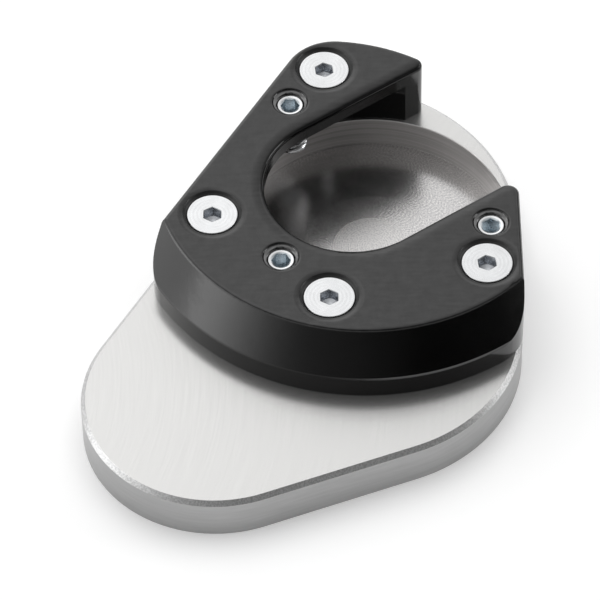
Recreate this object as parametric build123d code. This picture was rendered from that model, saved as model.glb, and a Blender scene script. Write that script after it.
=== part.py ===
from build123d import *
import os
from math import acos, asin, atan2, cos, degrees, radians, sin, tan

# A foot enlarger for a motorcycle's side stand: an aluminium plate that rests on the ground, with a
# round pocket for the stand's foot, and a horseshoe clamp screwed down over that foot.
# Millimetres, +Z up. The origin is where the pocket's axis meets the ground, and the horseshoe
# opens towards +Y.

# Foot plate
plate_thickness = 11.2
plate_chamfer = 1.05
toe_centre = (22.87, -60.1)
toe_radius = 31.67
side_centre = (24.3, -21.6)
side_radius = 39.5
tail_centre = (-6.74, -8.88)
tail_radius = 46.3
left_side_angle = 205.0
heel_radius = 14.0

# Pocket for the stand's foot
pocket_radius = 33.4
pocket_depth = 8.6
pocket_rim_chamfer = 0.2

# Horseshoe clamp
clamp_height = 16.3
clamp_front_centre = (-3.36, 0.9)
clamp_skirt_radius = 56.5
clamp_skirt_height = 5.7
clamp_fold_chamfer = 0.3
clamp_cone_inset = 6.45
clamp_tail_step = 1.35
clamp_corner_radius = 11.5
clamp_edge_radius = 1.2
lip_thickness = 4.2
cavity_clearance = 1.0
cavity_corner_radius = 3.1

# Slot of the horseshoe, which the stand's leg comes up through
slot_left = -22.3
slot_right = 19.7
slot_end_y = -25.4
left_tip_radius = 2.2
right_tip_radius = 2.7

# M6 countersunk socket screws, from the clamp into the plate
clamp_screw_radius = 3.0
clamp_screw_length = 25.0
clamp_screw_head_radius = 6.0
clamp_screw_head_land = 0.45
clamp_screw_socket_flats = 4.0
clamp_screw_socket_depth = 2.9
clamp_screw_sink = 0.55
clamp_screw_hole_clearance = 0.3
# Direction from the pocket's axis, distance outside the pocket's wall, and the socket's turn
clamp_screw_places = (
    (162.2, 3.9, 31.5),
    (251.0, 5.5, 24.5),
    (310.0, 4.3, 26.0),
    (11.1, 4.3, 32.0),
)

# M8 socket set screws, through the clamp onto the stand's foot
set_screw_radius = 4.0
set_screw_length = 14.0
set_screw_sink = 1.2
set_screw_flat_radius = 3.0
set_screw_end_chamfer = 0.8
set_screw_socket_flats = 4.0
set_screw_socket_depth = 5.0
set_screw_socket_mouth_radius = 2.48
set_screw_hole_chamfer = 0.2
# Direction from the pocket's axis, distance inside the pocket's wall, and the socket's turn
set_screw_places = ((182.9, 2.1, 56.0), (284.2, 1.15, 56.0), (28.7, 1.8, 26.0))

# Fits
thread_clearance = 0.05
screw_end_chamfer = 0.6
socket_mouth_angle = 120.0
socket_sides = 6

# Heights worked out from the sizes above
plate_top = plate_thickness
pocket_floor = plate_top - pocket_depth
clamp_top = plate_top + clamp_height
cavity_ceiling = clamp_top - lip_thickness
slot_width = slot_right - slot_left
slot_middle = (slot_right + slot_left) / 2


def polar(direction, distance):
    """The point at a direction, in degrees from +X, and a distance from the pocket's axis."""
    return distance * cos(radians(direction)), distance * sin(radians(direction))


def arc(centre, start, end):
    """The shorter arc about a centre from one point to another."""
    middle = Vector(*centre)
    first = Vector(*start) - middle
    second = Vector(*end) - middle
    return ThreePointArc(start, middle + (first + second).normalized() * first.length, end)


def on_circle(centre, radius, direction):
    """The point of a circle in a direction, in degrees, from its centre."""
    along_x, along_y = polar(direction, radius)
    return centre[0] + along_x, centre[1] + along_y


def line_and_circle(side, centre, radius, turn):
    """Where a straight side meets a circle: the crossing to the left (+1) or right (-1) of its normal."""
    direction, distance = side
    along_x, along_y = polar(direction, 1.0)
    height = distance - (centre[0] * along_x + centre[1] * along_y)
    return on_circle(centre, radius, direction + turn * degrees(acos(height / radius)))


def tangent_side(first, first_radius, second, second_radius):
    """Normal direction and distance from the axis of the straight side that touches two corner circles."""
    across = Vector(*second) - Vector(*first)
    lean = (second_radius - first_radius) / across.length
    direction = degrees(atan2(across.Y, across.X)) - 90 - degrees(asin(lean))
    return direction, support(first, first_radius, direction)


def support(centre, radius, direction):
    """How far a corner circle reaches from the pocket's axis in a direction."""
    along_x, along_y = polar(direction, 1.0)
    return centre[0] * along_x + centre[1] * along_y + radius


def left_side():
    """The plate's straight left side, which touches the toe corner and cuts the tail."""
    return left_side_angle, support(toe_centre, toe_radius, left_side_angle)


def right_side():
    return tangent_side(side_centre, side_radius, tail_centre, tail_radius)


def rounded(sketch, corners):
    """Rounds the corners at the given points, each with its radius."""
    for corner, radius in corners:
        target = Vector(*corner)
        vertex = sketch.vertices().sort_by(lambda v: (Vector(*v) - target).length)[0]
        sketch = fillet(vertex, radius)
    return sketch


def plate_outline():
    """The plate seen from above: three round corners joined by straight sides, and a small heel."""
    toe_side, _ = tangent_side(toe_centre, toe_radius, side_centre, side_radius)
    side_tail, _ = right_side()
    heel = line_and_circle(left_side(), tail_centre, tail_radius, -1)
    toe = [on_circle(toe_centre, toe_radius, way) for way in (left_side_angle, toe_side)]
    side = [on_circle(side_centre, side_radius, way) for way in (toe_side, side_tail)]
    tail = [on_circle(tail_centre, tail_radius, side_tail), heel]
    edges = [
        arc(toe_centre, *toe),
        Line(toe[1], side[0]),
        arc(side_centre, *side),
        Line(side[1], tail[0]),
        arc(tail_centre, *tail),
        Line(heel, toe[0]),
    ]
    return rounded(make_face(edges), [(heel, heel_radius)])


def clamp_outline():
    """The horseshoe seen from above: flush with the plate's sides, round at the front, and slotted."""
    tail = tail_radius - clamp_tail_step
    heel = line_and_circle(left_side(), tail_centre, tail, -1)
    front = (clamp_front_centre, clamp_skirt_radius)
    front_left = line_and_circle(left_side(), *front, 1)
    front_right = line_and_circle(right_side(), *front, -1)
    right_tip = slot_corner(*right_side())
    left_tip = line_and_circle((180.0, -slot_left), tail_centre, tail, -1)
    slot_bend = slot_end_y + slot_width / 2
    edges = [
        Line(heel, front_left),
        arc(clamp_front_centre, front_left, front_right),
        Line(front_right, right_tip),
        Line(right_tip, (slot_right, slot_bend)),
        ThreePointArc((slot_right, slot_bend), (slot_middle, slot_end_y), (slot_left, slot_bend)),
        Line((slot_left, slot_bend), left_tip),
        arc(tail_centre, left_tip, heel),
    ]
    corners = [
        (heel, heel_radius - clamp_tail_step),
        (front_left, clamp_corner_radius),
        (front_right, clamp_corner_radius),
        (left_tip, left_tip_radius),
        (right_tip, right_tip_radius),
    ]
    return rounded(make_face(edges), corners)


def slot_corner(direction, distance):
    """Where the slot's right side meets the straight side beside it."""
    along_x, along_y = polar(direction, 1.0)
    return slot_right, (distance - slot_right * along_x) / along_y


def make_foot_plate():
    plate = extrude(plate_outline(), plate_thickness)
    top = plate.faces().sort_by(Axis.Z)[-1]
    plate = chamfer(top.edges(), plate_chamfer)
    plate -= pocket()
    for direction, outside, _ in clamp_screw_places:
        tapped = Cylinder(
            clamp_screw_radius + thread_clearance,
            plate_thickness,
            align=(Align.CENTER, Align.CENTER, Align.MIN),
        )
        plate -= Pos(*polar(direction, pocket_radius + outside)) * tapped
    return plate


def pocket():
    """The round room for the stand's foot, with its rim broken."""
    profile = Polyline(
        (0, pocket_floor),
        (pocket_radius, pocket_floor),
        (pocket_radius, plate_top - pocket_rim_chamfer),
        (pocket_radius + pocket_rim_chamfer, plate_top),
        (0, plate_top),
        (0, pocket_floor),
    )
    return revolve(Plane.XZ * make_face(profile), Axis.Z)


def clamp_form():
    """The turned form that the clamp is cut from: a vertical skirt, a broken edge and a cone."""
    fold = plate_top + clamp_skirt_height
    slope = clamp_cone_inset / (clamp_height - clamp_skirt_height)
    profile = Polyline(
        (0, plate_top),
        (clamp_skirt_radius, plate_top),
        (clamp_skirt_radius, fold - clamp_fold_chamfer),
        (clamp_skirt_radius - slope * clamp_fold_chamfer, fold + clamp_fold_chamfer),
        (clamp_skirt_radius - clamp_cone_inset, clamp_top),
        (0, clamp_top),
        (0, plate_top),
    )
    return Pos(*clamp_front_centre) * revolve(Plane.XZ * make_face(profile), Axis.Z)


def cavity():
    """The room under the lip, a little wider than the pocket, with a rounded ceiling corner."""
    height = cavity_ceiling - plate_top
    radius = pocket_radius + cavity_clearance
    room = Cylinder(radius, height, align=(Align.CENTER, Align.CENTER, Align.MIN))
    room = Pos(0, 0, plate_top) * room
    return fillet(room.edges().sort_by(Axis.Z)[-1], cavity_corner_radius)


def clamp_screw_hole():
    """A clearance hole with a 90 degree countersink, from the clamp's top face down."""
    bore = clamp_screw_radius + clamp_screw_hole_clearance
    rim = clamp_screw_head_radius + clamp_screw_sink + clamp_screw_head_land
    profile = Polyline(
        (0, plate_top),
        (bore, plate_top),
        (bore, clamp_top - (rim - bore)),
        (rim, clamp_top),
        (0, clamp_top),
        (0, plate_top),
    )
    return revolve(Plane.XZ * make_face(profile), Axis.Z)


def set_screw_hole():
    """A tapped hole right through the clamp, with a chamfer at its mouth."""
    bore = set_screw_radius + thread_clearance
    mouth = bore + set_screw_hole_chamfer
    profile = Polyline(
        (0, plate_top),
        (bore, plate_top),
        (bore, clamp_top - set_screw_hole_chamfer),
        (mouth, clamp_top),
        (0, clamp_top),
        (0, plate_top),
    )
    return revolve(Plane.XZ * make_face(profile), Axis.Z)


def make_clamp():
    outline = Pos(0, 0, plate_top) * clamp_outline()
    clamp = extrude(outline, clamp_height) & clamp_form()
    top = clamp.faces().sort_by(Axis.Z)[-1]
    clamp = fillet(top.edges(), clamp_edge_radius)
    clamp -= cavity()
    for direction, outside, _ in clamp_screw_places:
        clamp -= Pos(*polar(direction, pocket_radius + outside)) * clamp_screw_hole()
    for direction, inside, _ in set_screw_places:
        clamp -= Pos(*polar(direction, pocket_radius - inside)) * set_screw_hole()
    return clamp


def hex_socket(flats, depth, top):
    """A hexagon socket that reaches down from a height."""
    corner = flats / 2 / cos(radians(180 / socket_sides))
    return extrude(Pos(0, 0, top - depth) * RegularPolygon(corner, socket_sides), depth)


def socket_mouth(radius, top):
    """The shallow cone that breaks a socket's edge, point down, with its rim at a height."""
    depth = radius / tan(radians(socket_mouth_angle / 2))
    return Pos(0, 0, top) * Cone(0, radius, depth, align=(Align.CENTER, Align.CENTER, Align.MAX))


def make_clamp_screw(direction, outside, turn):
    """A countersunk socket screw: head land, 90 degree cone, shank and chamfered end."""
    top = clamp_top - clamp_screw_sink
    end = top - clamp_screw_length
    land = top - clamp_screw_head_land
    profile = Polyline(
        (0, end),
        (clamp_screw_radius - screw_end_chamfer, end),
        (clamp_screw_radius, end + screw_end_chamfer),
        (clamp_screw_radius, land - (clamp_screw_head_radius - clamp_screw_radius)),
        (clamp_screw_head_radius, land),
        (clamp_screw_head_radius, top),
        (0, top),
        (0, end),
    )
    screw = revolve(Plane.XZ * make_face(profile), Axis.Z)
    screw -= hex_socket(clamp_screw_socket_flats, clamp_screw_socket_depth, top)
    return Pos(*polar(direction, pocket_radius + outside)) * Rot(0, 0, turn) * screw


def make_set_screw(direction, inside, turn):
    """A flat point set screw, with its crown chamfered down to the flat ring round the socket."""
    top = clamp_top - set_screw_sink
    end = top - set_screw_length
    crown = set_screw_radius - set_screw_flat_radius
    profile = Polyline(
        (0, end),
        (set_screw_radius - set_screw_end_chamfer, end),
        (set_screw_radius, end + set_screw_end_chamfer),
        (set_screw_radius, top - crown),
        (set_screw_flat_radius, top),
        (0, top),
        (0, end),
    )
    screw = revolve(Plane.XZ * make_face(profile), Axis.Z)
    screw -= hex_socket(set_screw_socket_flats, set_screw_socket_depth, top)
    screw -= socket_mouth(set_screw_socket_mouth_radius, top)
    return Pos(*polar(direction, pocket_radius - inside)) * Rot(0, 0, turn) * screw


def write(node, shape):
    shape.label = node
    export_step(shape, f"parts/{node}.step")
    print(node, "volume", round(shape.volume))


os.makedirs("parts", exist_ok=True)
write("foot_plate", make_foot_plate())
write("clamp", make_clamp())
for number, place in enumerate(clamp_screw_places, start=1):
    write(f"clamp_screw_{number}", make_clamp_screw(*place))
for number, place in enumerate(set_screw_places, start=1):
    write(f"set_screw_{number}", make_set_screw(*place))
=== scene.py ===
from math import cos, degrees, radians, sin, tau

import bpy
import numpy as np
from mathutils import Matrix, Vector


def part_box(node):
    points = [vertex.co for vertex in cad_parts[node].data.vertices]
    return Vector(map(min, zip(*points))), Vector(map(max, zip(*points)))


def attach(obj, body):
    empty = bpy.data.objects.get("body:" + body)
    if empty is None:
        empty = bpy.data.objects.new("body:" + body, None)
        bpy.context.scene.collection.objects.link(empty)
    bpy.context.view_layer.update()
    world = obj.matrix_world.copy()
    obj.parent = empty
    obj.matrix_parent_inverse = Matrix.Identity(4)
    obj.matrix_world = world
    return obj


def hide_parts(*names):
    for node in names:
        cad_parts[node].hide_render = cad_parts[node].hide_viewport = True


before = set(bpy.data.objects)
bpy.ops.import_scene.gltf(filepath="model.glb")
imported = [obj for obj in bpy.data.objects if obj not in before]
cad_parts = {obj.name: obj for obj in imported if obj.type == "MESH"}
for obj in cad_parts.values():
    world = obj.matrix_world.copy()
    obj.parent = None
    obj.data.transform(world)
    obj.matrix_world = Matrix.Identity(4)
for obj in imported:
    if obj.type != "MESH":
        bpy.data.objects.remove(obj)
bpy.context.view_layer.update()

# %% [markdown]
# A foot enlarger for a motorcycle's side stand. Its aluminium plate lies on the ground, so that
# the stand doesn't sink in, and a black horseshoe clamp holds the stand's foot in the plate's
# pocket. The solids come packed from the CAD model, and Blender gives them their finish, so this
# lesson is mostly about metal: brushed, milled, turned and anodised. Only the seven screws and the
# three tapped holes get new meshes, because their threads and fine edges are worth more faces than
# a solid model carries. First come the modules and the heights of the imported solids, which
# everything else is set against.

MM = 0.001
plate_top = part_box("foot_plate")[1].z / MM
clamp_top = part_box("clamp")[1].z / MM
print("plate top", round(plate_top, 2), "mm, clamp top", round(clamp_top, 2), "mm")

# %% [markdown]
# The camera comes first, because every finish is judged through it. The photograph was taken with
# a long lens from well above, so lines that are parallel on the part stay nearly parallel. A
# camera is placed by its position and by three unit vectors: where it looks, and what is right and
# up in the picture. From those, a rotation matrix follows, and no constraint or tracking is needed.

# %% Camera
def make_camera(place, heading, right_level, roll, lens):
    """A camera at a place, looking along heading, with its level right turned by a roll."""
    forward = Vector(heading).normalized()
    level = Vector(right_level).normalized()
    upright = level.cross(forward)
    right = cos(roll) * level + sin(roll) * upright
    up = -sin(roll) * level + cos(roll) * upright
    camera = bpy.data.objects.new("camera", bpy.data.cameras.new("camera"))
    bpy.context.scene.collection.objects.link(camera)
    turn = Matrix((right, up, -forward)).transposed().to_4x4()
    camera.matrix_world = Matrix.Translation(Vector(place) * MM) @ turn
    camera.data.lens = lens
    camera.data.sensor_width = 36.0
    camera.data.clip_start = 0.05
    camera.data.clip_end = 50.0
    bpy.context.scene.camera = camera
    return camera


view_place = (588.10, -416.43, 839.88)
view_forward = (-0.53392, 0.35918, -0.76546)
view_right = (0.55817, 0.82973, 0.0)
view_roll, view_lens = -0.0189, 274.2
camera = make_camera(view_place, view_forward, view_right, view_roll, view_lens)
print("camera", round(camera.location.length, 3), "m from the pocket")

# %% [markdown]
# Every new piece is a surface over a grid of points: rows run along a profile, columns run round
# the axis. One helper turns such a grid into a mesh. It joins the last column to the first, closes
# both ends with a fan of triangles round a pole, and turns the faces outwards by the sign of the
# volume that they enclose. Edges sharper than an angle are marked sharp, and the rest is shaded
# smooth. A corner of a cube, whose volume is a sixth, tests the volume's formula.

# %% From a grid of points to a mesh
def volume_sign(points, triangles):
    """Six times the volume in words: the sum of a . (b x c) over all triangles."""
    a, b, c = (points[triangles[:, corner]] for corner in range(3))
    return np.einsum("ij,ij->i", a, np.cross(b, c)).sum()


def grid_piece(name, points, closed_ends=True, sharp=30.0):
    """A closed mesh from points[row, column] in millimetres; open ends mean that the rows close."""
    rows, columns = points.shape[:2]
    index = np.arange(rows * columns).reshape(rows, columns)
    if not closed_ends:
        index = np.vstack([index, index[:1]])
    beside = np.roll(index, -1, axis=1)
    quads = np.stack([index[:-1], beside[:-1], beside[1:], index[1:]], axis=-1).reshape(-1, 4)
    flat = points.reshape(-1, 3)
    fans = np.zeros((0, 3), int)
    if closed_ends:
        poles = np.array([points[0].mean(axis=0), points[-1].mean(axis=0)])
        first, last = len(flat), len(flat) + 1
        flat = np.vstack([flat, poles])
        start = np.stack([np.full(columns, first), beside[0], index[0]], axis=-1)
        end = np.stack([np.full(columns, last), index[-1], beside[-1]], axis=-1)
        fans = np.vstack([start, end])
    triangles = np.vstack([quads[:, :3], quads[:, [0, 2, 3]], fans])
    if volume_sign(flat, triangles) < 0:
        quads, fans = quads[:, ::-1], fans[:, ::-1]
    mesh = bpy.data.meshes.new(name)
    mesh.from_pydata((flat * MM).tolist(), [], quads.tolist() + fans.tolist())
    mesh.polygons.foreach_set("use_smooth", np.ones(len(mesh.polygons), bool))
    mesh.set_sharp_from_angle(angle=radians(sharp))
    piece = bpy.data.objects.new(name, mesh)
    bpy.context.scene.collection.objects.link(piece)
    print(name, len(triangles), "triangles")
    return piece


cube_corner = np.array([(0, 0, 0), (1, 0, 0), (0, 1, 0), (0, 0, 1)], float)
outward_faces = np.array([(0, 2, 1), (0, 1, 3), (0, 3, 2), (1, 2, 3)])
print("a cube's corner encloses", volume_sign(cube_corner, outward_faces), "sixth")

# %% [markdown]
# Both kinds of screw have a hexagon socket and a thread. In polar form a hexagon is one formula:
# its wall is at half the width across flats, divided by the cosine of the angle to the nearest
# flat's middle. A thread is a formula too: the radius dips by the thread's depth where the height,
# counted in pitches, minus the angle, counted in turns, is near a whole number. Each row of the
# grid is one height, so a screw is one surface from the point of its end to the bottom of its
# socket. Both kinds share the socket's width, its drilled foot and the number of columns.

# %% Hexagon and thread as formulas
columns_round = 96
socket_flats = 4.0
drill_radius, drill_tip, drill_cone = 1.95, 0.3, 0.95
thread_flat = 0.15


def angles_from(turn):
    """Evenly spaced directions in a full circle, the first at a turn in degrees."""
    return np.radians(turn) + np.arange(columns_round) * tau / columns_round


def hexagon(angles, flats, turn):
    """Wall distance = flats / 2 / cos(angle to the nearest flat's middle), a corner at the turn."""
    from_corner = np.mod(np.degrees(angles) - turn, 60.0)
    return flats / 2 / np.cos(np.radians(from_corner - 30.0))


def thread_dip(angles, heights, pitch, depth):
    """Depth x V wave of (height / pitch - angle / tau), cut flat at crest and root."""
    phase = np.mod(heights[:, None] / pitch - angles[None, :] / tau, 1.0)
    wave = np.abs(2 * phase - 1)
    return depth * np.clip((wave - thread_flat) / (1 - 2 * thread_flat), 0.0, 1.0)


def ease(heights, low, high, over):
    """0 at both ends of a span and 1 inside it, for a thread that runs out at its ends."""
    inside = np.minimum(heights - low, high - heights)
    return np.clip(inside / over, 0.0, 1.0)


def rings(angles, pairs, centre):
    """Rows of points from (radius or radii, height) pairs, round a vertical axis at a centre."""
    radii = np.array([np.broadcast_to(radius, angles.shape) for radius, _ in pairs])
    heights = np.array([np.broadcast_to(height, angles.shape) for _, height in pairs])
    along_x = centre[0] + radii * np.cos(angles)
    along_y = centre[1] + radii * np.sin(angles)
    return np.stack([along_x, along_y, heights], axis=-1)


def threaded_rows(angles, low, high, radius, pitch, depth, centre):
    """Rows of a thread from a low to a high height: the outside radius less the dip."""
    heights = np.arange(low, high, pitch / 12)
    dip = thread_dip(angles, heights, pitch, depth)
    dip *= ease(heights, low, high, pitch)[:, None]
    pairs = [(radius - dip[row], heights[row]) for row in range(len(heights))]
    return rings(angles, pairs, centre)


def centre_of(cad_node):
    """The middle of a solid seen from above, in millimetres."""
    low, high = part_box(cad_node)
    return (low.x + high.x) / 2 / MM, (low.y + high.y) / 2 / MM


corner_radius = hexagon(np.radians([0.0]), socket_flats, 0.0)[0]
print("socket", socket_flats, "mm over flats,", round(2 * corner_radius, 2), "over corners")

# %% [markdown]
# The four countersunk screws are M6. Their heads sit about half a millimetre below the clamp's
# face, in countersinks that leave a dark ring round each head. The edge of the socket is broken
# with a tiny chamfer that catches the light. The sockets are turned as on the photograph, where no
# two of these screws were tightened to the same angle.

# %% Clamp screws
m6_radius, m6_pitch, m6_thread_depth = 2.98, 1.0, 0.6
head_radius, head_height, head_land, head_break = 6.0, 3.45, 0.5, 0.1
socket_depth, socket_break = 2.9, 0.16
m6_end = ((0.6, 0.0), (2.25, 0.0), (2.4, 0.05), (2.95, 0.6))
thread_start, thread_gap = 0.65, 0.2
clamp_screw_turns = {1: 31.5, 2: 24.5, 3: 26.0, 4: 32.0}


def clamp_screw(cad_node, turn):
    """An M6 screw from below: end, thread, 90 degree cone, land, top, hexagon socket, drill."""
    low, high = (corner.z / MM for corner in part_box(cad_node))
    centre = centre_of(cad_node)
    angles = angles_from(turn)
    socket = hexagon(angles, socket_flats, turn)
    shank_top = high - head_height
    end = rings(angles, [(radius, low + rise) for radius, rise in m6_end], centre)
    span = low + thread_start, shank_top - thread_gap
    thread = threaded_rows(angles, *span, m6_radius, m6_pitch, m6_thread_depth, centre)
    head = rings(
        angles,
        [
            (m6_radius, shank_top),
            (m6_radius + 0.07, shank_top + 0.1),
            (head_radius - 0.05, high - head_land),
            (head_radius, high - head_land + 0.08),
            (head_radius, high - head_break),
            (head_radius - head_break, high),
            (5.6, high),
            (4.4, high),
            (3.2, high),
            (socket + socket_break, high),
            (socket, high - socket_break),
            (socket, high - socket_depth),
            (drill_radius, high - socket_depth),
            (drill_tip, high - socket_depth - drill_cone),
        ],
        centre,
    )
    piece = grid_piece(cad_node + "_detail", np.vstack([end, thread, head]))
    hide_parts(cad_node)
    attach(piece, "root")
    return piece


clamp_screws = {
    number: clamp_screw(f"clamp_screw_{number}", turn)
    for number, turn in clamp_screw_turns.items()
}

# %% [markdown]
# The three set screws are M8 and press on the stand's foot from above. What shows of each is a
# bright ring round its socket, the slope from that ring down to the thread, and, under the lip, the
# first turns of the thread at its lower end. A drilled cone leads into the socket, which makes the
# ring's inner edge round although the socket is a hexagon.

# %% Set screws
m8_radius, m8_pitch, m8_thread_depth = 3.98, 1.25, 0.68
mouth_radius, mouth_break, deep_socket = 2.48, 0.04, 5.0
m8_point = ((0.8, 0.0), (3.1, 0.0), (3.2, 0.05), (3.9, 0.75))
point_height, crown_height = 0.8, 1.0
set_screw_turns = {1: 56.0, 2: 56.0, 3: 26.0}


def set_screw(cad_node, turn):
    """An M8 screw from below: point, thread, crown, ring, lead-in, hexagon socket, drill."""
    low, high = (corner.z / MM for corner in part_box(cad_node))
    centre = centre_of(cad_node)
    angles = angles_from(turn)
    socket = hexagon(angles, socket_flats, turn)
    lead_in = (mouth_radius - socket) / np.sqrt(3.0)
    point = rings(angles, [(radius, low + rise) for radius, rise in m8_point], centre)
    span = low + point_height, high - crown_height
    thread = threaded_rows(angles, *span, m8_radius, m8_pitch, m8_thread_depth, centre)
    crown = rings(
        angles,
        [
            (3.95, high - 0.97),
            (3.1, high - 0.1),
            (2.98, high),
            (2.6, high),
            (mouth_radius, high - mouth_break),
            (socket, high - mouth_break - lead_in),
            (socket, high - deep_socket),
            (drill_radius, high - deep_socket),
            (drill_tip, high - deep_socket - drill_cone),
        ],
        centre,
    )
    piece = grid_piece(cad_node + "_detail", np.vstack([point, thread, crown]))
    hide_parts(cad_node)
    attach(piece, "root")
    return piece


set_screws = {
    number: set_screw(f"set_screw_{number}", turn) for number, turn in set_screw_turns.items()
}

# %% [markdown]
# The clamp's holes for the set screws are tapped, and above each screw the last turn of thread
# shows as bright arcs on the wall. The solid has a plain hole there, so a thin threaded sleeve
# lines it. Its inner wall follows the same helix as the screw with a small clearance, so that
# ridge meets groove, and its outer wall lies just inside the clamp's metal. The grid closes on
# itself like a ring, so this piece has no poles.

# %% Tapped walls of the set screw holes
wall_inside, wall_outside = 4.05, 4.14
wall_start, wall_end, wall_run_out = 4.1, 0.22, 0.3


def tapped_wall(number):
    """A ring whose inner wall is the set screw's thread plus a clearance, through the lip."""
    centre = centre_of(f"set_screw_{number}")
    angles = angles_from(0.0)
    low, high = clamp_top - wall_start, clamp_top - wall_end
    heights = np.arange(low, high, m8_pitch / 14)
    dip = thread_dip(angles, heights, m8_pitch, m8_thread_depth)
    dip *= ease(heights, low, high, wall_run_out)[:, None]
    inner = [(wall_inside - dip[row], heights[row]) for row in range(len(heights))]
    shoulder = wall_inside + 0.01
    outer = [
        (shoulder, high),
        (wall_outside, high - 0.05),
        (wall_outside, low),
        (shoulder, low - 0.02),
    ]
    piece = grid_piece(f"tapped_wall_{number}", rings(angles, inner + outer, centre), False)
    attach(piece, "root")
    return piece


tapped_walls = [tapped_wall(number) for number in set_screw_turns]

# %% [markdown]
# Materials are graphs of nodes. Small helpers keep them readable: one adds a node and fills its
# sockets with numbers or with links, and the others use it for arithmetic, blends, noise and
# distances. Every pattern reads Object coordinates, which are metres in the part's own frame, so a
# pattern can be placed as exactly as a drill: a mask is a comparison of a height or of a distance
# from an axis.

# %% Node helpers
def node(tree, kind, inputs=None, **attributes):
    """Adds a node; a socket given as an input is linked, and any other value is set."""
    made = tree.nodes.new(kind)
    for key, value in attributes.items():
        setattr(made, key, value)
    for key, value in (inputs or {}).items():
        if isinstance(value, bpy.types.NodeSocket):
            tree.links.new(value, made.inputs[key])
        else:
            made.inputs[key].default_value = value
    return made


def maths(tree, operation, first, second=0.0, third=0.0):
    """A number worked out by a Math node."""
    inputs = {0: first, 1: second, 2: third}
    return node(tree, "ShaderNodeMath", inputs, operation=operation).outputs[0]


def blend(tree, share, first, second):
    """A colour between two colours."""
    inputs = {"Factor": share, 6: first, 7: second}
    return node(tree, "ShaderNodeMix", inputs, data_type="RGBA").outputs[2]


def between(tree, share, first, second):
    """A number between two numbers."""
    inputs = {"Factor": share, 2: first, 3: second}
    return node(tree, "ShaderNodeMix", inputs, data_type="FLOAT").outputs[0]


def new_material(name, **values):
    """A material with a Principled shader; constants are set on the shader's own sockets."""
    material = bpy.data.materials.new(name)
    material.use_nodes = True
    tree = material.node_tree
    tree.nodes.clear()
    shader = node(tree, "ShaderNodeBsdfPrincipled", values)
    node(tree, "ShaderNodeOutputMaterial", {"Surface": shader.outputs[0]})
    place = node(tree, "ShaderNodeTexCoord").outputs["Object"]
    return material, tree, shader, place


def mapped(tree, place, location=(0, 0, 0), turn=0.0, scale=(1, 1, 1)):
    """Coordinates moved, turned about Z and scaled by a Mapping node."""
    inputs = {"Vector": place, "Location": location, "Rotation": (0, 0, turn), "Scale": scale}
    return node(tree, "ShaderNodeMapping", inputs).outputs[0]


def noise(tree, place, scale, detail=2.0, rough=0.5):
    """A cloudy number from 0 to 1; the scale is in waves per metre."""
    inputs = {"Vector": place, "Scale": scale, "Detail": detail, "Roughness": rough}
    return node(tree, "ShaderNodeTexNoise", inputs).outputs[0]


def contrast(tree, value, gain):
    """A noise value pushed from its middle: 0.5 + gain x (value - 0.5), kept from 0 to 1."""
    pushed = maths(tree, "MULTIPLY_ADD", value, gain, 0.5 - 0.5 * gain)
    return node(tree, "ShaderNodeClamp", {"Value": pushed}).outputs[0]


def flat_distance(tree, place, centre=(0.0, 0.0)):
    """Distance from a vertical axis, in metres."""
    moved = mapped(tree, place, (-centre[0] * MM, -centre[1] * MM, 0), 0.0, (1, 1, 0))
    return node(tree, "ShaderNodeVectorMath", {0: moved}, operation="LENGTH").outputs["Value"]


def dress(piece, material):
    """Puts a material in every slot of a piece, or in a new one."""
    if not piece.material_slots:
        piece.data.materials.append(material)
    for material_slot in piece.material_slots:
        material_slot.material = material


print("patterns are placed in metres, a millimetre being", MM)

# %% [markdown]
# The plate is one block of aluminium with five finishes. Its top was faced with a wide cutter, and
# the fine marks spread every reflection a little. Its side wall is duller. Its pocket was milled:
# the wall shows lines that run round it, and the floor is nearly a mirror with the marks of the
# cutter. The edge between top and side wall is a finish of its own, because it was broken last.
# One material carries all of them, and masks by height and by distance from the pocket's axis
# choose between them. Each limit lies a little way off the faces that it parts. The underside gets
# the side wall's finish, because the pocket's masks begin above it.

# %% Plate: masks for the five finishes
pocket_reach = 33.55
below_floor, above_floor = 1.0, 2.64
chamfer_height, top_margin = 1.06, 0.02
plate, tree, metal, place = new_material("brushed_aluminium", IOR=1.45)
axes = node(tree, "ShaderNodeSeparateXYZ", {0: place}).outputs
height = axes["Z"]
from_axis = flat_distance(tree, place)
in_pocket = maths(tree, "LESS_THAN", from_axis, pocket_reach * MM)
over_floor = maths(tree, "GREATER_THAN", height, below_floor * MM)
in_pocket = maths(tree, "MULTIPLY", in_pocket, over_floor)
under_wall = maths(tree, "LESS_THAN", height, above_floor * MM)
on_floor = maths(tree, "MULTIPLY", in_pocket, under_wall)
on_wall = maths(tree, "SUBTRACT", in_pocket, on_floor)
outside = maths(tree, "SUBTRACT", 1.0, in_pocket)
below_top = maths(tree, "LESS_THAN", height, (plate_top - top_margin) * MM)
below_chamfer = maths(tree, "LESS_THAN", height, (plate_top - chamfer_height) * MM)
on_side = maths(tree, "MULTIPLY", outside, below_chamfer)
chamfer_band = maths(tree, "SUBTRACT", below_top, below_chamfer)
on_chamfer = maths(tree, "MULTIPLY", outside, chamfer_band)
print("plate masks made for a top at", round(plate_top, 2), "mm")

# %% [markdown]
# The marks on the top are arcs of a large circle. In the shader that is noise read in polar
# coordinates: fine across the arc, where the distance from the circle's centre counts, and
# stretched along it, where the angle counts. The tail was faced in a second pass, so its marks
# have a centre of their own.

# %% Plate: facing marks
front_centre, tail_centre = (-34.0, -135.0), (-82.0, -5.0)
marks_per_metre = 2100.0
tail_start = -5.0


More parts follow.
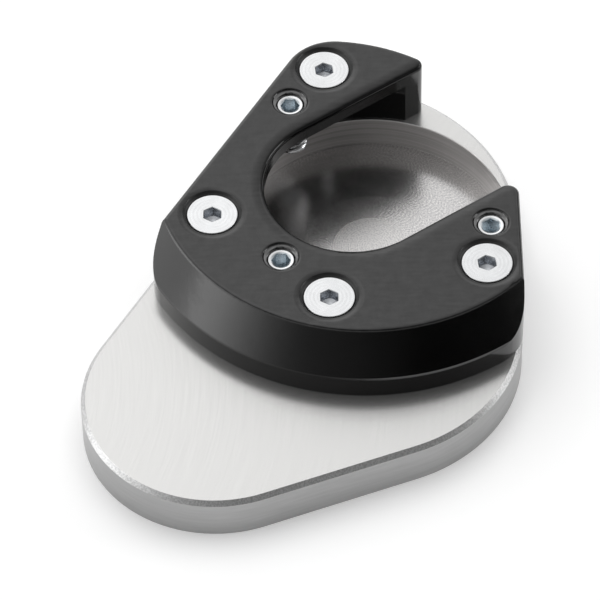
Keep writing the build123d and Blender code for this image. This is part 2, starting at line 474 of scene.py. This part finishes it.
def faced(tree, place, centre, across, along):
    """Noise of (distance from a centre x across, angle x along): streaks that follow circles."""
    moved = mapped(tree, place, (-centre[0] * MM, -centre[1] * MM, 0))
    parts = node(tree, "ShaderNodeSeparateXYZ", {0: moved}).outputs
    distance = flat_distance(tree, place, centre)
    angle = maths(tree, "ARCTAN2", parts["Y"], parts["X"])
    over = maths(tree, "MULTIPLY", distance, across)
    inputs = {0: over, 1: maths(tree, "MULTIPLY", angle, along)}
    polar = node(tree, "ShaderNodeCombineXYZ", inputs).outputs[0]
    return noise(tree, polar, 1.0, 3.0, 0.6)


on_tail = maths(tree, "GREATER_THAN", axes["Y"], tail_start * MM)
lay = between(
    tree,
    on_tail,
    faced(tree, place, front_centre, marks_per_metre, 5.0),
    faced(tree, place, tail_centre, marks_per_metre, 9.0),
)
print("facing marks round", front_centre, "and", tail_centre)

# %% [markdown]
# The pocket's floor was milled in rings round its axis: a disc in the middle, and then one pass
# after another, each as wide as the cutter. At every step of its feed the cutter leaves an arc of
# its own radius, so the arcs of one pass are all alike and only turned round the axis. An arc is
# therefore one formula: how far the cutter's edge reaches ahead at each distance from the path's
# middle. A sine of that reach plus the angle, counted in whole arcs per turn, draws them all
# without a seam. The disc in the middle has plain rings, and the wall has level lines.

# %% Plate: lines and cutter arcs in the pocket
first_pass, pass_width, feed, ring_step = 9.0, 7.0, 0.95, 0.55
cloud = noise(tree, place, 160.0, 3.0, 0.6)
speckle = contrast(tree, noise(tree, place, 2300.0, 2.0, 0.6), 4.5)


def scallops(tree, axes, distance):
    """sin(n angle + tau reach / feed), and the number of the pass.

    The reach is sqrt(cutter^2 - (distance - path)^2), with the path in the middle of the pass.
    """
    cutter = pass_width / 2
    out = maths(tree, "MULTIPLY", distance, 1 / MM)
    beyond = maths(tree, "SUBTRACT", out, first_pass)
    number = maths(tree, "FLOOR", maths(tree, "MULTIPLY", beyond, 1 / pass_width))
    path = maths(tree, "MULTIPLY_ADD", number, pass_width, first_pass + cutter)
    offset = maths(tree, "SUBTRACT", out, path)
    squared = maths(tree, "MULTIPLY", offset, offset)
    under_root = maths(tree, "SUBTRACT", cutter**2, squared)
    reach = maths(tree, "SQRT", maths(tree, "MAXIMUM", under_root, 0.0))
    count = maths(tree, "ROUND", maths(tree, "MULTIPLY", path, tau / feed))
    angle = maths(tree, "ARCTAN2", axes["Y"], axes["X"])
    turn = maths(tree, "MULTIPLY_ADD", reach, tau / feed, maths(tree, "MULTIPLY", count, angle))
    return maths(tree, "SINE", turn), number


centre_rings = maths(tree, "SINE", maths(tree, "MULTIPLY", from_axis, tau / (ring_step * MM)))
scallop, pass_number = scallops(tree, axes, from_axis)
in_first = maths(tree, "LESS_THAN", from_axis, first_pass * MM)
in_second = maths(tree, "COMPARE", pass_number, 0.0, 0.1)
floor_arcs = between(tree, in_first, scallop, centre_rings)
arc_lines = maths(tree, "POWER", maths(tree, "MULTIPLY_ADD", floor_arcs, 0.5, 0.5), 3.0)
fresh = maths(tree, "MULTIPLY_ADD", in_second, 0.25, in_first)
wall_lines = noise(tree, mapped(tree, place, scale=(14, 14, 1500)), 1.0, 3.0, 0.6)
fine_lines = noise(tree, mapped(tree, place, scale=(20, 20, 3300)), 1.0, 2.0, 0.6)
wall_lines = contrast(tree, between(tree, 0.5, wall_lines, fine_lines), 2.4)
side_lines = noise(tree, mapped(tree, place, scale=(90, 90, 1300)), 1.0, 2.0, 0.5)
print("floor passes", first_pass, "mm and then every", pass_width, "mm")

# %% [markdown]
# The masks now choose a colour, a share of Metallic, a roughness and a relief for each finish.
# A freshly cut face mirrors nearly all, so the colour of the floor carries the cutter's marks. The
# top and the pocket's wall mirror less and scatter more, which their share of Metallic sets. The
# relief is only four thousandths of a millimetre high, and the Bump node turns it into normals.

# %% Plate: colour, roughness and relief
relief_height = 0.004
top_tone = between(tree, lay, 0.76, 0.85)
top_colour = blend(tree, top_tone, (0, 0, 0, 1), (1.0, 0.995, 0.982, 1))
wall_tone = between(tree, wall_lines, 0.46, 0.92)
wall_colour = blend(tree, wall_tone, (0, 0, 0, 1), (1.0, 0.97, 0.95, 1))
floor_mix = maths(tree, "MULTIPLY", cloud, 0.2)
floor_mix = maths(tree, "MULTIPLY_ADD", speckle, 0.5, floor_mix)
floor_mix = maths(tree, "MULTIPLY_ADD", arc_lines, 0.25, floor_mix)
floor_mix = maths(tree, "MULTIPLY_ADD", fresh, 0.15, floor_mix)
floor_colour = blend(tree, floor_mix, (0.55, 0.54, 0.55, 1), (1.0, 0.985, 0.965, 1))
# Partly painted shade: the side wall's dark colour is its own duller finish, and it also stands for
# darker surroundings in its mirror image.
side_tone_and_shade = between(tree, side_lines, 0.35, 0.45)
side_colour_and_shade = blend(tree, side_tone_and_shade, (0, 0, 0, 1), (1.0, 1.0, 1.0, 1))
colour = blend(tree, on_side, top_colour, side_colour_and_shade)
edge_colour = blend(tree, speckle, (0.52, 0.52, 0.52, 1), (0.72, 0.72, 0.72, 1))
colour = blend(tree, on_chamfer, colour, edge_colour)
colour = blend(tree, on_wall, colour, wall_colour)
colour = blend(tree, on_floor, colour, floor_colour)
tree.links.new(colour, metal.inputs["Base Color"])
off_top = maths(tree, "MAXIMUM", on_side, on_chamfer)
metallic = between(tree, off_top, 0.89, 1.0)
metallic = between(tree, on_wall, metallic, 0.62)
metallic = between(tree, on_floor, metallic, 0.97)
tree.links.new(metallic, metal.inputs["Metallic"])
roughness = between(tree, on_side, 0.24, 0.34)
roughness = between(tree, on_chamfer, roughness, 0.42)
roughness = between(tree, on_wall, roughness, 0.23)
floor_roughness = between(tree, fresh, between(tree, cloud, 0.17, 0.27), 0.31)
roughness = between(tree, on_floor, roughness, floor_roughness)
tree.links.new(roughness, metal.inputs["Roughness"])
floor_relief = maths(tree, "MULTIPLY", floor_arcs, 0.28)
floor_relief = maths(tree, "MULTIPLY_ADD", speckle, 0.8, floor_relief)
relief = between(tree, on_side, maths(tree, "MULTIPLY", lay, 0.6), side_lines)
relief = between(tree, on_chamfer, relief, maths(tree, "MULTIPLY", speckle, 0.15))
relief = between(tree, on_wall, relief, wall_lines)
relief = between(tree, on_floor, relief, floor_relief)
inputs = {"Height": relief, "Strength": 1.0, "Distance": relief_height * MM}
bump = node(tree, "ShaderNodeBump", inputs)
tree.links.new(bump.outputs[0], metal.inputs["Normal"])
dress(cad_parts["foot_plate"], plate)
print("plate dressed with", len(tree.nodes), "nodes")

# %% [markdown]
# The clamp is black anodised. The oxide layer is clear and hard, so the colour underneath is
# nearly black, and all that one sees of the form is the reflection on top of it. The part was
# tumbled before its bath, which rounds the metal softly towards the slot and the holes. A bump
# does that here: it sinks with the square of the way through the last millimetres before a rim.
# The distance from the slot needs a formula of its own, because the slot is straight towards its
# mouth and round at its end.

# %% Clamp: how far the metal sinks towards its rims
slot_middle, slot_bend, slot_rim, slot_roll = -1.3, -4.4, 21.9, 2.4
head_rim, head_roll, sink_reach = 7.0, 1.4, 7.02
tapped_rim, tapped_roll = 4.2, 0.6
top_depth, face_depth = 0.5, 0.03
black, tree, skin, place = new_material("black_anodised", IOR=1.72)


def worn_rim(tree, distance, rim, width):
    """How far the metal sinks to a rim: the square of 0 to 1 over the width before the rim."""
    inputs = {"Value": distance, 1: (rim + width) * MM, 2: rim * MM, 3: 0.0, 4: 1.0}
    share = node(tree, "ShaderNodeMapRange", inputs).outputs[0]
    return maths(tree, "MULTIPLY", share, share)


def slot_distance(tree, place, middle, bend):
    """Distance from the slot's centre line, along +Y from the centre of its round end."""
    moved = mapped(tree, place, (-middle * MM, -bend * MM, 0))
    parts = node(tree, "ShaderNodeSeparateXYZ", {0: moved}).outputs
    inputs = {0: parts["X"], 1: maths(tree, "MINIMUM", parts["Y"], 0.0)}
    offset = node(tree, "ShaderNodeCombineXYZ", inputs).outputs[0]
    return node(tree, "ShaderNodeVectorMath", {0: offset}, operation="LENGTH").outputs["Value"]


from_slot = slot_distance(tree, place, slot_middle, slot_bend)
sunk = worn_rim(tree, from_slot, slot_rim, slot_roll)
in_sink = 0.0
for number in clamp_screw_turns:
    distance = flat_distance(tree, place, centre_of(f"clamp_screw_{number}"))
    within = maths(tree, "LESS_THAN", distance, sink_reach * MM)
    in_sink = maths(tree, "MAXIMUM", within, in_sink)
    sunk = maths(tree, "MAXIMUM", worn_rim(tree, distance, head_rim, head_roll), sunk)
for number in set_screw_turns:
    distance = flat_distance(tree, place, centre_of(f"set_screw_{number}"))
    sunk = maths(tree, "MAXIMUM", worn_rim(tree, distance, tapped_rim, tapped_roll), sunk)
level = node(tree, "ShaderNodeSeparateXYZ", {0: place}).outputs["Z"]
on_top = maths(tree, "GREATER_THAN", level, (clamp_top - top_depth) * MM)
under_face = maths(tree, "LESS_THAN", level, (clamp_top - face_depth) * MM)
in_sink = maths(tree, "MULTIPLY", in_sink, under_face)
sunk = maths(tree, "MULTIPLY", sunk, on_top)
print("softened rims", 1 + len(clamp_screw_turns) + len(set_screw_turns))

# %% [markdown]
# Shade is painted on the clamp in the room under the lip, on the skirt, along the slot's upper edge
# and on the worn rims. The Metallic socket dims the mirror image there. A metal's mirror image
# takes the base colour, which is black, so every share of Metallic takes that share of the mirror
# image away. The limits are the room's radius and ceiling, the skirt's radius and its fold, and the
# height of the edge that is rounded along the slot.

# %% Clamp: painted shade, where the mirror image is taken away
room_reach, room_ceiling = 34.45, 4.18
skirt_axis, skirt_reach, skirt_fold = (-3.36, 0.9), 56.2, 5.6
edge_height = 1.25
room_shade, skirt_shade, rim_shade, edge_shade = 0.75, 0.28, 0.35, 0.6


def all_of(tree, *masks):
    """1 where every mask is 1: their product."""
    product = masks[0]
    for mask in masks[1:]:
        product = maths(tree, "MULTIPLY", product, mask)
    return product


in_room = all_of(
    tree,
    maths(tree, "LESS_THAN", flat_distance(tree, place), room_reach * MM),
    maths(tree, "LESS_THAN", level, (clamp_top - room_ceiling) * MM),
)
on_skirt = all_of(
    tree,
    maths(tree, "GREATER_THAN", flat_distance(tree, place, skirt_axis), skirt_reach * MM),
    maths(tree, "LESS_THAN", level, (plate_top + skirt_fold) * MM),
)
slot_edge = all_of(
    tree,
    under_face,
    maths(tree, "LESS_THAN", from_slot, slot_rim * MM),
    maths(tree, "GREATER_THAN", level, (clamp_top - edge_height) * MM),
)
# Painted shade: each mask's share of Metallic takes that share of the clamp's mirror image away.
painted_shade = maths(tree, "MULTIPLY", in_room, room_shade)
for mask, share in ((on_skirt, skirt_shade), (sunk, rim_shade), (slot_edge, edge_shade)):
    painted_shade = maths(tree, "MAXIMUM", painted_shade, maths(tree, "MULTIPLY", mask, share))
tree.links.new(painted_shade, skin.inputs["Metallic"])
print("mirror image less", room_shade, "in the room and", skirt_shade, "on the skirt")

# %% [markdown]
# The top keeps faint ripples from its facing, drawn out across the picture. They are a noise that
# a Mapping node turns first and stretches then, which its texture type does, and they show both in
# the colour and in the relief. The oxide has a fine peel like paint, wider on the top, and the
# countersinks are duller than the rest, because a countersink cutter chatters.

# %% Clamp: ripples, peel and gloss
ripple_turn, ripple_stretch = 56.1, 6.0
inputs = {
    "Vector": place,
    "Rotation": (0, 0, radians(ripple_turn)),
    "Scale": (ripple_stretch, 1.0, 1.0),
}
drawn = node(tree, "ShaderNodeMapping", inputs, vector_type="TEXTURE").outputs[0]
ripples = contrast(tree, noise(tree, drawn, 1300.0, 2.0, 0.5), 2.5)
ripples = maths(tree, "MULTIPLY", ripples, on_top)
black_tone = between(tree, ripples, 0.0002, 0.011)
tree.links.new(blend(tree, black_tone, (0, 0, 0, 1), (1, 1, 1, 1)), skin.inputs["Base Color"])
peel = noise(tree, place, 260.0, 2.0, 0.5)
fine_peel = noise(tree, place, 1500.0, 2.0, 0.5)
rough_cloud = noise(tree, place, 120.0, 2.0, 0.5)
gloss = between(tree, in_sink, between(tree, rough_cloud, 0.12, 0.18), 0.5)
tree.links.new(gloss, skin.inputs["Roughness"])
waves = maths(tree, "MULTIPLY", peel, between(tree, on_top, 1.0, 4.0))
waves = maths(tree, "MULTIPLY_ADD", ripples, 0.5, waves)
relief = maths(tree, "MULTIPLY_ADD", fine_peel, 0.12, waves)
relief = maths(tree, "MULTIPLY_ADD", sunk, -13.0, relief)
peel_height = 0.02
inputs = {"Height": relief, "Strength": 1.0, "Distance": peel_height * MM}
tree.links.new(node(tree, "ShaderNodeBump", inputs).outputs[0], skin.inputs["Normal"])
dress(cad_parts["clamp"], black)
print("clamp dressed with", len(tree.nodes), "nodes")

# %% [markdown]
# The screws are bright steel. A head that was turned on a lathe shows rings round its axis, so its
# material measures the distance from that axis, and a function makes one material per screw. The
# sockets get a darker colour, mottled by a noise. The slope outside a set screw's ring, which leads
# down into its hole, is painted nearly black as shade. A clamp screw has no such slope, so its
# radius for it lies outside the head. The tapped walls above the set screws are bare metal, cut
# after the anodising.

# %% Screws: turned bright steel
socket_reach, no_slope, ring_edge = 2.4, 9.0, 3.04
socket_margin, slope_depth = 0.06, 1.2
turning_step, turning_height = 0.9, 0.003
slope_shade = (0.16, 0.16, 0.17, 1.0)


def turned_steel(name, cad_node, colour, socket_colour, slope):
    """Steel with rings round its axis, a darker mottled socket, and a slope of painted shade beyond
    a radius.
    """

    def grey(part):
        return tuple(part * channel for channel in colour) + (1.0,)

    material, tree, shader, place = new_material(name, Metallic=1.0)
    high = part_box(cad_node)[1].z
    distance = flat_distance(tree, place, centre_of(cad_node))
    level = node(tree, "ShaderNodeSeparateXYZ", {0: place}).outputs["Z"]
    below = maths(tree, "LESS_THAN", level, high - socket_margin * MM)
    inside = maths(tree, "LESS_THAN", distance, socket_reach * MM)
    in_socket = maths(tree, "MULTIPLY", below, inside)
    near_top = maths(tree, "GREATER_THAN", level, high - slope_depth * MM)
    outside_ring = maths(tree, "GREATER_THAN", distance, slope * MM)
    on_slope = maths(tree, "MULTIPLY", near_top, outside_ring)
    mottle = contrast(tree, noise(tree, place, 900.0, 2.0, 0.5), 2.5)
    handled = contrast(tree, noise(tree, place, 350.0, 3.0, 0.6), 2.0)
    dark_socket = tuple(0.75 * channel for channel in socket_colour) + (1.0,)
    mottled_socket = blend(tree, mottle, dark_socket, (*socket_colour, 1.0))
    shade = blend(tree, in_socket, blend(tree, handled, grey(0.9), grey(1.0)), mottled_socket)
    # Painted shade: the slope outside a set screw's ring, leading down into the hole, gets a nearly
    # black colour.
    shade = blend(tree, on_slope, shade, slope_shade)
    tree.links.new(shade, shader.inputs["Base Color"])
    wave = maths(tree, "SINE", maths(tree, "MULTIPLY", distance, tau / (turning_step * MM)))
    inputs = {"Height": wave, "Strength": 1.0, "Distance": turning_height * MM}
    tree.links.new(node(tree, "ShaderNodeBump", inputs).outputs[0], shader.inputs["Normal"])
    tree.links.new(between(tree, mottle, 0.20, 0.28), shader.inputs["Roughness"])
    return material


head_steel, head_socket = (0.95, 0.96, 0.97), (0.66, 0.68, 0.71)
zinc, zinc_socket = (0.93, 0.94, 0.95), (0.76, 0.82, 0.86)
for number, piece in clamp_screws.items():
    screw = f"clamp_screw_{number}"
    dress(piece, turned_steel(f"bright_{screw}", screw, head_steel, head_socket, no_slope))
for number, piece in set_screws.items():
    screw = f"set_screw_{number}"
    dress(piece, turned_steel(f"zinc_{screw}", screw, zinc, zinc_socket, ring_edge))
bare_values = {"Metallic": 1.0, "Base Color": (0.22, 0.22, 0.22, 1), "Roughness": 0.22}
bare, *_ = new_material("bare_thread", **bare_values)
for piece in tapped_walls:
    dress(piece, bare)
print("steel materials", len(clamp_screws) + len(set_screws))

# %% [markdown]
# The studio is a white table under a big soft sky. Both were read from the photograph: on a black
# gloss every spot of the form mirrors one direction, so the tones round the cone tell how bright
# each direction was. The table is white paper that also glows a little for the camera and for
# reflections, so that it reads as white and still keeps the part's shadow.

# %% Studio: table
table_half, table_glow = 15.0, 0.205
paper_colour = (0.9, 0.9, 0.9, 1)


def studio_table():
    """A large square floor at the height of the part's underside."""
    half = table_half
    corners = [(-half, -half, 0), (half, -half, 0), (half, half, 0), (-half, half, 0)]
    mesh = bpy.data.meshes.new("table")
    mesh.from_pydata(corners, [], [(0, 1, 2, 3)])
    table = bpy.data.objects.new("table", mesh)
    bpy.context.scene.collection.objects.link(table)
    material = bpy.data.materials.new("white_paper")
    material.use_nodes = True
    tree = material.node_tree
    tree.nodes.clear()
    path = node(tree, "ShaderNodeLightPath").outputs
    seen = maths(tree, "MAXIMUM", path["Is Camera Ray"], path["Is Glossy Ray"])
    seen = maths(tree, "MAXIMUM", seen, path["Is Transmission Ray"])
    glow = maths(tree, "MULTIPLY", seen, table_glow)
    paper = node(tree, "ShaderNodeBsdfDiffuse", {"Color": paper_colour})
    light = node(tree, "ShaderNodeEmission", {"Strength": glow})
    both = node(tree, "ShaderNodeAddShader", {0: paper.outputs[0], 1: light.outputs[0]})
    node(tree, "ShaderNodeOutputMaterial", {"Surface": both.outputs[0]})
    table.data.materials.append(material)
    return table


studio_table()
print("table", 2 * table_half, "m wide, glowing", table_glow)

# %% [markdown]
# The sky is a sum of soft terms. A bright patch stands high behind the part, where the top faces
# mirror it towards the camera, and it falls off to the right and far out to both sides. Near the
# horizon the front is dark, which turns the front of the black cone black, and a dim band above it
# draws the thin light line along the clamp's front edge. A glow low down at the left gives the
# cone its light side. It grows with the fifth power of the way to the left, so it fades without an
# edge. Every term is a function of one or two cosines: how far a direction goes to the right, to
# the back, upwards or along the way in which a level mirror sends the camera's view. Each row of
# four numbers below says between which two cosines a term changes, and from what to what.

# %% Studio: sky
patch, patch_right = (0.2, 0.92, 0.0, 0.92), (-0.12, 0.12, 1.1, 0.74)
patch_aside = (0.4, 0.9, 1.0, 0.4)
front_dark = (-0.45, 0.5, 0.13, 0.01)
band_foot, band_head = (0.31, 0.42, 0.0, 0.36), (0.54, 0.68, 1.0, 0.0)
glow_height, glow_back, glow_power = (0.3, 0.8, 2.6, 0.0), (0.28, 0.45, 1.0, 0.35), 5.0


def eased(tree, value, low, high, start, finish):
    """Goes softly from start to finish while the value goes from low to high."""
    inputs = {"Value": value, 1: low, 2: high, 3: start, 4: finish}
    return node(tree, "ShaderNodeMapRange", inputs, interpolation_type="SMOOTHSTEP").outputs[0]


def studio_sky(mirror_way, right_way, back_way):
    """A world of patch(angle from the mirror way) + front(side) + band(height) + (left share)^5."""
    world = bpy.data.worlds.new("studio_sky")
    world.use_nodes = True
    tree = world.node_tree
    tree.nodes.clear()
    way = node(tree, "ShaderNodeTexCoord").outputs["Generated"]

    def along(direction):
        inputs = {0: way, 1: direction}
        return node(tree, "ShaderNodeVectorMath", inputs, operation="DOT_PRODUCT").outputs["Value"]

    sideways, backwards, upwards = along(right_way), along(back_way), along((0, 0, 1))
    overhead = eased(tree, along(mirror_way), *patch)
    overhead = maths(tree, "MULTIPLY", overhead, eased(tree, sideways, *patch_right))
    aside = maths(tree, "ABSOLUTE", sideways)
    overhead = maths(tree, "MULTIPLY", overhead, eased(tree, aside, *patch_aside))
    front = eased(tree, sideways, *front_dark)
    band = eased(tree, upwards, *band_foot)
    band = maths(tree, "MULTIPLY", band, eased(tree, upwards, *band_head))
    front = maths(tree, "ADD", front, band)
    left = maths(tree, "MAXIMUM", maths(tree, "MULTIPLY", sideways, -1.0), 0.0)
    left = maths(tree, "POWER", left, glow_power)
    left = maths(tree, "MULTIPLY", left, eased(tree, upwards, *glow_height))
    left = maths(tree, "MULTIPLY", left, eased(tree, backwards, *glow_back))
    strength = maths(tree, "ADD", maths(tree, "ADD", overhead, front), left)
    camera_ray = node(tree, "ShaderNodeLightPath").outputs["Is Camera Ray"]
    strength = between(tree, camera_ray, strength, 1.0)
    inputs = {"Color": (1, 1, 1, 1), "Strength": strength}
    background = node(tree, "ShaderNodeBackground", inputs)
    node(tree, "ShaderNodeOutputWorld", {"Surface": background.outputs[0]})
    bpy.context.scene.world = world


ahead = Vector(view_forward)
level_right = Vector(view_right).normalized()
level_back = Vector((ahead.x, ahead.y, 0)).normalized()
mirror_way = Vector((ahead.x, ahead.y, -ahead.z)).normalized()
studio_sky(mirror_way, level_right, level_back)
print("sky is brightest", round(degrees(np.arcsin(mirror_way.z)), 1), "degrees up")

# %% [markdown]
# Two panels do what the sky doesn't: one at the right puts the highlight on the plate's edge
# there, and one overhead only lights the table and the matt faces, because mirrors don't show it.

# %% Studio: panels
def panel(name, right, back, up, width, height, radiance, mirrored=True):
    """A soft light of a given radiance, so many metres to the right, back and up of the part."""
    place = level_right * right + level_back * back + Vector((0, 0, up))
    light = bpy.data.lights.new(name, "AREA")
    light.shape = "RECTANGLE"
    light.size = width
    light.size_y = height
    light.energy = radiance * np.pi * width * height
    lamp = bpy.data.objects.new(name, light)
    bpy.context.scene.collection.objects.link(lamp)
    lamp.location = place
    lamp.rotation_mode = "QUATERNION"
    lamp.rotation_quaternion = place.to_track_quat("Z", "Y")
    lamp.visible_glossy = mirrored
    print(name, round(light.energy, 2), "W")


panel("right_panel", right=0.80, back=0.12, up=0.36, width=0.40, height=0.22, radiance=4.0)
panel(
    "top_panel", right=0.0, back=0.25, up=1.0, width=1.1, height=1.1, radiance=1.15, mirrored=False
)

# %% [markdown]
# Colours show as written, so the view transform is Standard.

# %% View settings
bpy.context.scene.view_settings.view_transform = "Standard"
bpy.context.view_layer.update()
